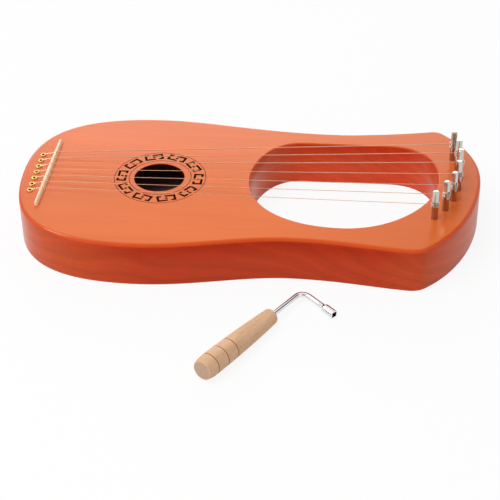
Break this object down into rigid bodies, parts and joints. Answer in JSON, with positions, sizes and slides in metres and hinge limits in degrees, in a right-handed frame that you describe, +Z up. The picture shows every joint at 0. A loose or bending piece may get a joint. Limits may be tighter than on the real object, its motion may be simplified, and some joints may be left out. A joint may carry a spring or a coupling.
{
  "type": "lyre harp",
  "caption": "Flat-bodied lyre harp with a hand opening, a round sound hole with a key-pattern rosette, steel strings on tuning pins, and a tuning wrench beside it.",
  "frame": {"origin": "on the underside of the back plate, below the centre of the sound hole", "axes": "+X from the tail to the head with the tuning pins, +Y to the side of the first string, +Z up out of the soundboard"},
  "size_m": [0.3688, 0.2957, 0.0657],
  "materials": {
    "top_wood": "satin lacquer over fine straight grain",
    "frame_wood": "satin red-brown lacquer over flat-sawn grain",
    "back_wood": "satin red-brown lacquer",
    "brace_wood": "bare spruce",
    "bone": "polished bone",
    "brass": "polished",
    "steel_wire": "plain drawn wire",
    "nickel": "bright nickel plate",
    "beech": "thin clear varnish, burnt grooves",
    "chrome_rod": "bright plated steel"
  },
  "bodies": {
    "harp": {"top_plate": "top_wood", "body_frame": "frame_wood", "back_plate": "back_wood", "brace_tail": "brace_wood", "brace_head": "brace_wood", "bridge": "bone", "ferrule_1": "brass", "ball_end_1": "brass", "string_1": "steel_wire", "ferrule_2": "brass", "ball_end_2": "brass", "string_2": "steel_wire", "ferrule_3": "brass", "ball_end_3": "brass", "string_3": "steel_wire", "ferrule_4": "brass", "ball_end_4": "brass", "string_4": "steel_wire", "ferrule_5": "brass", "ball_end_5": "brass", "string_5": "steel_wire", "ferrule_6": "brass", "ball_end_6": "brass", "string_6": "steel_wire", "ferrule_7": "brass", "ball_end_7": "brass", "string_7": "steel_wire"},
    "pin_1": {"tuning_pin_1": "nickel", "winding_1": "steel_wire"},
    "pin_2": {"tuning_pin_2": "nickel", "winding_2": "steel_wire"},
    "pin_3": {"tuning_pin_3": "nickel", "winding_3": "steel_wire"},
    "pin_4": {"tuning_pin_4": "nickel", "winding_4": "steel_wire"},
    "pin_5": {"tuning_pin_5": "nickel", "winding_5": "steel_wire"},
    "pin_6": {"tuning_pin_6": "nickel", "winding_6": "steel_wire"},
    "pin_7": {"tuning_pin_7": "nickel", "winding_7": "steel_wire"},
    "wrench": {"wrench_handle": "beech", "wrench_key": "chrome_rod"}
  },
  "joints": [
    {"name": "tuning_pin_1_turn", "type": "hinge", "parent": "harp", "child": "pin_1", "pos_m": [0.23488, 0.0439, 0.038], "axis": [0, 0, 1], "range_deg": [-990, 90]},
    {"name": "tuning_pin_2_turn", "type": "hinge", "parent": "harp", "child": "pin_2", "pos_m": [0.23837, 0.02917, 0.038], "axis": [0, 0, 1], "range_deg": [-990, 90]},
    {"name": "tuning_pin_3_turn", "type": "hinge", "parent": "harp", "child": "pin_3", "pos_m": [0.23939, 0.01406, 0.038], "axis": [0, 0, 1], "range_deg": [-990, 90]},
    {"name": "tuning_pin_4_turn", "type": "hinge", "parent": "harp", "child": "pin_4", "pos_m": [0.2379, -0.001, 0.038], "axis": [0, 0, 1], "range_deg": [-990, 90]},
    {"name": "tuning_pin_5_turn", "type": "hinge", "parent": "harp", "child": "pin_5", "pos_m": [0.23394, -0.01561, 0.038], "axis": [0, 0, 1], "range_deg": [-990, 90]},
    {"name": "tuning_pin_6_turn", "type": "hinge", "parent": "harp", "child": "pin_6", "pos_m": [0.22763, -0.02937, 0.038], "axis": [0, 0, 1], "range_deg": [-990, 90]},
    {"name": "tuning_pin_7_turn", "type": "hinge", "parent": "harp", "child": "pin_7", "pos_m": [0.21913, -0.0419, 0.038], "axis": [0, 0, 1], "range_deg": [-990, 90]},
    {"name": "wrench_lift", "type": "slide", "parent": "harp", "child": "wrench", "axis": [0, 0, 1], "range_m": [0, 0.1]}
  ]
}
